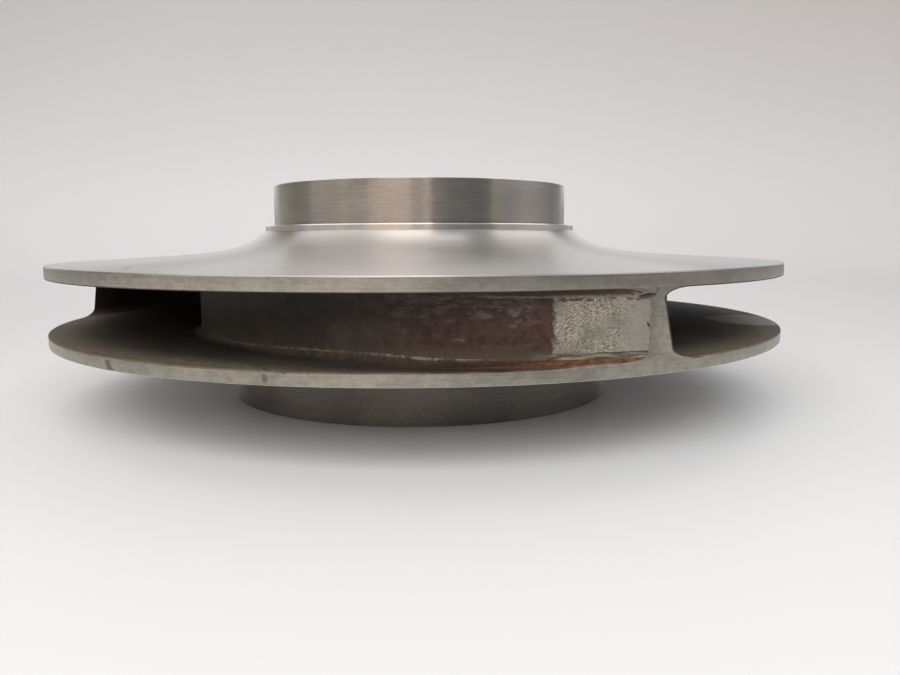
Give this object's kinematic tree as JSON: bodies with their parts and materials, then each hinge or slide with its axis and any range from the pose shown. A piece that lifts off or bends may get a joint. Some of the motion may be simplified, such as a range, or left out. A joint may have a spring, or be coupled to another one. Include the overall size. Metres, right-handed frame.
{
  "type": "closed pump impeller",
  "caption": "Closed centrifugal pump impeller: a cast body with backward-curved vanes between two shrouds, a bored hub, and a renewable wear ring on each side.",
  "frame": {"origin": "on the axis of rotation, at the lower face of the suction wear ring that the impeller lies on", "axes": "+Z along the axis of rotation from the suction eye to the back (drive) side; +X through the middle of the keyway"},
  "size_m": [0.33, 0.33, 0.0967],
  "materials": {
    "cast_steel": "turned satin steel outside, brown oxide on the cast passage walls",
    "ring_steel": "fine turned satin steel",
    "screw_steel": "dark oiled steel"
  },
  "bodies": {
    "root": {"impeller_casting": "cast_steel", "back_wear_ring": "ring_steel", "suction_wear_ring": "ring_steel", "back_lock_screw_1": "screw_steel", "back_lock_screw_2": "screw_steel", "back_lock_screw_3": "screw_steel", "suction_lock_screw_1": "screw_steel", "suction_lock_screw_2": "screw_steel", "suction_lock_screw_3": "screw_steel"}
  },
  "joints": []
}
